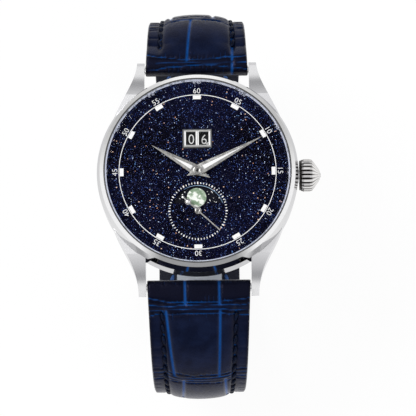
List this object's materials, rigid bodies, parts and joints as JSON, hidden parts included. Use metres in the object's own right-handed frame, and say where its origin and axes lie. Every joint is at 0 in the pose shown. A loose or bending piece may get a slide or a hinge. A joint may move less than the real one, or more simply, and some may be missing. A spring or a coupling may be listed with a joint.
{
  "type": "moon phase watch",
  "caption": "Automatic wristwatch with a moon phase, small seconds and big date on a starry blue dial, on a dark blue scale-embossed leather strap closed by a butterfly clasp.",
  "frame": {"origin": "centre of the case back's outer face", "axes": "+Z out of the dial, +Y towards 12 o'clock, +X towards the crown"},
  "size_m": [0.0468, 0.0824, 0.0594],
  "materials": {
    "polished_steel": "polished",
    "brushed_steel": "satin",
    "movement_plate": "satin, striped",
    "movement_brass": "polished",
    "rotor_metal": "satin, striped",
    "sapphire": "polished",
    "gasket_rubber": "matte",
    "gasket_nylon": "matte",
    "holder_plastic": "matte",
    "star_glass": "polished, with fine blue flecks",
    "black_disc": "matte black",
    "white_inlay": "matte white",
    "hand_steel": "satin facets",
    "blued_steel": "blued",
    "strap_leather": "glossy, embossed scales",
    "lining_leather": "matte"
  },
  "bodies": {
    "watch": {"case_middle": "brushed_steel", "bezel": "polished_steel", "rehaut": "polished_steel", "crystal": "sapphire", "crystal_gasket": "gasket_nylon", "case_back": "polished_steel", "case_back_glass": "sapphire", "case_back_gasket": "gasket_rubber", "movement_holder": "holder_plastic", "main_plate": "movement_plate", "barrel_bridge": "movement_plate", "train_bridge": "movement_plate", "balance_cock": "movement_plate", "bridge_screws": "blued_steel", "hairspring": "blued_steel", "rotor_bearing": "polished_steel", "dial": "star_glass", "hour_blocks": "white_inlay", "date_frame": "polished_steel", "crown_tube": "polished_steel", "spring_bar_12": "polished_steel", "spring_bar_6": "polished_steel", "strap_12": "strap_leather", "strap_6": "strap_leather", "strap_lining_12": "lining_leather", "strap_lining_6": "lining_leather", "clasp_base": "polished_steel", "clasp_leaf_12": "polished_steel", "clasp_leaf_6": "polished_steel", "clasp_hinge_pins": "polished_steel", "clasp_strap_bars": "polished_steel", "clasp_latch_block": "polished_steel"},
    "seconds": {"fourth_wheel": "movement_brass", "seconds_hand": "hand_steel"},
    "third": {"third_wheel": "movement_brass"},
    "minute": {"centre_wheel": "movement_brass", "cannon_pinion": "polished_steel", "minute_hand": "hand_steel", "minute_hand_inlay": "white_inlay"},
    "minute_work": {"minute_wheel": "movement_brass"},
    "hour": {"hour_wheel": "movement_brass", "hour_hand": "hand_steel", "hour_hand_inlay": "white_inlay"},
    "barrel": {"mainspring_barrel": "movement_brass"},
    "escape": {"escape_wheel": "polished_steel"},
    "pallet": {"pallet_fork": "polished_steel"},
    "balance": {"balance_wheel": "movement_brass"},
    "rotor": {"rotor": "rotor_metal"},
    "moon": {"moon_disc": "star_glass"},
    "date_units": {"date_units_disc": "black_disc"},
    "date_tens": {"date_tens_disc": "black_disc"},
    "lever": {"setting_lever": "polished_steel"},
    "crown": {"crown": "polished_steel", "crown_gasket": "gasket_rubber", "winding_stem": "polished_steel"},
    "winding_pinion": {"winding_pinion": "polished_steel"},
    "crown_wheel": {"crown_wheel": "polished_steel"},
    "ratchet": {"ratchet_wheel": "polished_steel"},
    "button_left": {"clasp_button_left": "polished_steel"},
    "button_right": {"clasp_button_right": "polished_steel"}
  },
  "joints": [
    {"name": "seconds_turn", "type": "hinge", "parent": "watch", "child": "seconds", "pos_m": [0, -0.00833, 0], "axis": [0, 0, 1], "continuous": true},
    {"name": "third_turn", "type": "hinge", "parent": "watch", "child": "third", "pos_m": [0.00135, -0.00448, 0], "axis": [0, 0, 1], "continuous": true},
    {"name": "minute_turn", "type": "hinge", "parent": "watch", "child": "minute", "pos_m": [0, 0, 0], "axis": [0, 0, 1], "continuous": true},
    {"name": "minute_work_turn", "type": "hinge", "parent": "watch", "child": "minute_work", "pos_m": [0.00248, 0.0009, 0], "axis": [0, 0, 1], "continuous": true},
    {"name": "hour_turn", "type": "hinge", "parent": "watch", "child": "hour", "pos_m": [0, 0, 0], "axis": [0, 0, 1], "continuous": true},
    {"name": "barrel_turn", "type": "hinge", "parent": "watch", "child": "barrel", "pos_m": [-0.001, 0.00622, 0], "axis": [0, 0, 1], "continuous": true},
    {"name": "escape_turn", "type": "hinge", "parent": "watch", "child": "escape", "pos_m": [-0.00325, -0.0089, 0], "axis": [0, 0, 1], "continuous": true},
    {"name": "pallet_swing", "type": "hinge", "parent": "watch", "child": "pallet", "pos_m": [-0.00536, -0.00714, 0], "axis": [0, 0, 1], "range_deg": [-3, 3]},
    {"name": "balance_swing", "type": "hinge", "parent": "watch", "child": "balance", "pos_m": [-0.0084, -0.0046, 0], "axis": [0, 0, 1], "range_deg": [-270, 270]},
    {"name": "rotor_turn", "type": "hinge", "parent": "watch", "child": "rotor", "pos_m": [0, 0, 0], "axis": [0, 0, 1], "continuous": true},
    {"name": "moon_turn", "type": "hinge", "parent": "watch", "child": "moon", "pos_m": [0, -0.00833, 0], "axis": [0, 0, 1], "continuous": true},
    {"name": "date_units_turn", "type": "hinge", "parent": "watch", "child": "date_units", "pos_m": [0.0044, 0.0082, 0], "axis": [0, 0, 1], "continuous": true},
    {"name": "date_tens_turn", "type": "hinge", "parent": "watch", "child": "date_tens", "pos_m": [-0.0044, 0.0082, 0], "axis": [0, 0, 1], "continuous": true},
    {"name": "crown_pull", "type": "slide", "parent": "watch", "child": "lever", "axis": [1, 0, 0], "range_m": [0, 0.0016]},
    {"name": "crown_turn", "type": "hinge", "parent": "lever", "child": "crown", "pos_m": [0, 0, 0.0041], "axis": [1, 0, 0], "continuous": true},
    {"name": "winding_pinion_turn", "type": "hinge", "parent": "watch", "child": "winding_pinion", "pos_m": [0, 0, 0.0041], "axis": [1, 0, 0], "continuous": true},
    {"name": "crown_wheel_turn", "type": "hinge", "parent": "watch", "child": "crown_wheel", "pos_m": [0.00487, 0, 0], "axis": [0, 0, 1], "continuous": true},
    {"name": "ratchet_turn", "type": "hinge", "parent": "watch", "child": "ratchet", "pos_m": [-0.001, 0.00622, 0], "axis": [0, 0, 1], "continuous": true},
    {"name": "left_button_press", "type": "slide", "parent": "watch", "child": "button_left", "axis": [1, 0, 0], "range_m": [0, 0.0005], "stiffness_N_per_m": 400},
    {"name": "right_button_press", "type": "slide", "parent": "watch", "child": "button_right", "axis": [-1, 0, 0], "range_m": [0, 0.0005], "stiffness_N_per_m": 400}
  ],
  "couplings": [
    {"joint": "minute_turn", "follows": "barrel_turn", "ratio": -6},
    {"joint": "minute_work_turn", "follows": "barrel_turn", "ratio": 2},
    {"joint": "hour_turn", "follows": "barrel_turn", "ratio": -0.5},
    {"joint": "third_turn", "follows": "barrel_turn", "ratio": 48},
    {"joint": "seconds_turn", "follows": "barrel_turn", "ratio": -360},
    {"joint": "escape_turn", "follows": "barrel_turn", "ratio": 3600},
    {"joint": "winding_pinion_turn", "follows": "crown_turn", "ratio": 1},
    {"joint": "crown_wheel_turn", "follows": "crown_turn", "ratio": 0.38889},
    {"joint": "ratchet_turn", "follows": "crown_turn", "ratio": -0.25926}
  ]
}
